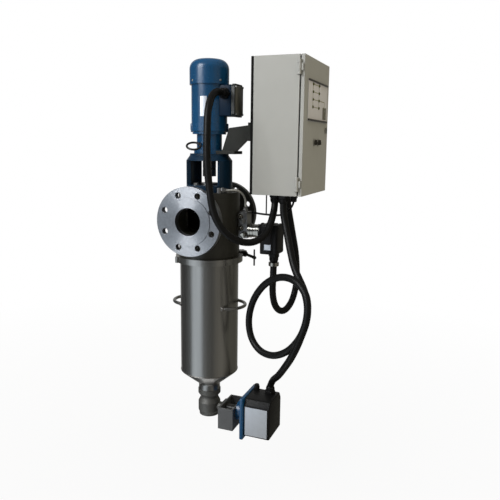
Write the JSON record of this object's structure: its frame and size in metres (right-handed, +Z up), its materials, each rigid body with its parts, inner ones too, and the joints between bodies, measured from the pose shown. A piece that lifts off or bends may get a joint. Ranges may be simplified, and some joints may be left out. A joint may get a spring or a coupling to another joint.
{
  "type": "self cleaning filter",
  "caption": "Line-mounted scraper filter: flanged head, clamped steel shell, gearmotor on a lantern, side control cabinet, pressure switch and motorised drain ball valve.",
  "frame": {"origin": "centre of the inlet flange's bolting face", "axes": "+Z up, +Y along the flow from inlet to outlet, +X towards the control cabinet"},
  "size_m": [0.4924, 0.4142, 1.1403],
  "materials": {
    "head_paint": "satin",
    "turned_steel": "turned",
    "shell_steel": "brushed satin",
    "plain_steel": "machined",
    "zinc_steel": "zinc plated",
    "bronze": "machined",
    "blue_enamel": "gloss",
    "spider_rubber": "matt",
    "black_plastic": "satin",
    "bare_plate": "satin",
    "black_steel": "satin",
    "olive_steel": "satin",
    "grey_coat": "powder coat",
    "panel_plate": "satin",
    "lamp_lens": "gloss",
    "device_plastic": "matt",
    "nickel": "polished",
    "cast_stainless": "blasted",
    "ptfe": "matt",
    "grey_steel": "satin"
  },
  "bodies": {
    "filter": {"head_body": "head_paint", "inlet_flange": "turned_steel", "outlet_flange": "head_paint", "top_cover": "head_paint", "fasteners": "zinc_steel", "seal_housing": "plain_steel", "shaft_bearings": "bronze", "lantern": "blue_enamel", "gearbox_housing": "blue_enamel", "motor_frame": "blue_enamel", "fan_cowl": "blue_enamel", "terminal_box": "blue_enamel", "terminal_lid": "blue_enamel", "blank_labels": "bare_plate", "conduit_glands": "black_plastic", "lifting_eye": "black_steel", "bracket_arm": "olive_steel", "back_plate": "black_steel", "cabinet_body": "grey_coat", "mounting_panel": "zinc_steel", "inner_devices": "device_plastic", "impulse_tube": "plain_steel", "tube_fittings": "plain_steel", "dp_manifold": "plain_steel", "dp_body": "nickel", "dp_housing": "black_plastic", "shell": "shell_steel", "shell_handles": "shell_steel", "clamp_ring": "olive_steel", "body_seal": "spider_rubber", "filter_screen": "shell_steel", "valve_body": "cast_stainless", "valve_seats": "ptfe", "valve_bracket": "grey_steel", "actuator_base": "blue_enamel", "actuator_cover": "black_plastic", "motor_conduit": "black_plastic", "dp_conduit": "black_plastic", "actuator_conduit": "black_plastic"},
    "drive": {"output_shaft": "plain_steel", "coupling_hubs": "plain_steel", "coupling_spider": "spider_rubber", "scraper_shaft": "plain_steel", "scraper_arms": "plain_steel", "scraper_blades": "ptfe"},
    "rotor": {"motor_rotor": "plain_steel", "fan": "black_plastic"},
    "door": {"cabinet_door": "grey_coat", "door_seal": "spider_rubber", "door_hinges": "zinc_steel", "mimic_panel": "panel_plate", "indicator_lamps": "lamp_lens", "selector_bases": "black_plastic"},
    "lock": {"door_lock": "zinc_steel"},
    "knob_a": {"selector_knob_a": "black_plastic"},
    "knob_b": {"selector_knob_b": "black_plastic"},
    "t_bolt": {"clamp_bolt": "black_steel"},
    "drain": {"ball": "nickel", "stem": "plain_steel", "stem_coupling": "plain_steel"}
  },
  "joints": [
    {"name": "drive_spin", "type": "hinge", "parent": "filter", "child": "drive", "pos_m": [0, 0.142, 0], "axis": [0, 0, 1], "continuous": true},
    {"name": "motor_spin", "type": "hinge", "parent": "filter", "child": "rotor", "pos_m": [0, 0.142, 0.3], "axis": [0, 0, 1], "continuous": true},
    {"name": "door_swing", "type": "hinge", "parent": "filter", "child": "door", "pos_m": [0.285, 0.108, 0.268], "axis": [0, 0, -1], "range_deg": [0, 120]},
    {"name": "lock_turn", "type": "hinge", "parent": "door", "child": "lock", "pos_m": [0.298, 0.358, 0.264], "axis": [-1, 0, 0], "range_deg": [0, 90]},
    {"name": "knob_a_turn", "type": "hinge", "parent": "door", "child": "knob_a", "pos_m": [0.298, 0.229, 0.227], "axis": [1, 0, 0], "range_deg": [-45, 45]},
    {"name": "knob_b_turn", "type": "hinge", "parent": "door", "child": "knob_b", "pos_m": [0.298, 0.269, 0.227], "axis": [1, 0, 0], "range_deg": [-45, 45]},
    {"name": "t_bolt_spin", "type": "hinge", "parent": "filter", "child": "t_bolt", "pos_m": [0.07561, 0.22598, -0.121], "axis": [0.7431, -0.6691, 0], "continuous": true},
    {"name": "drain_turn", "type": "hinge", "parent": "filter", "child": "drain", "pos_m": [0, 0.142, -0.61333], "axis": [1, 0, 0], "range_deg": [0, 90]}
  ],
  "couplings": [
    {"joint": "motor_spin", "follows": "drive_spin", "ratio": 28}
  ]
}
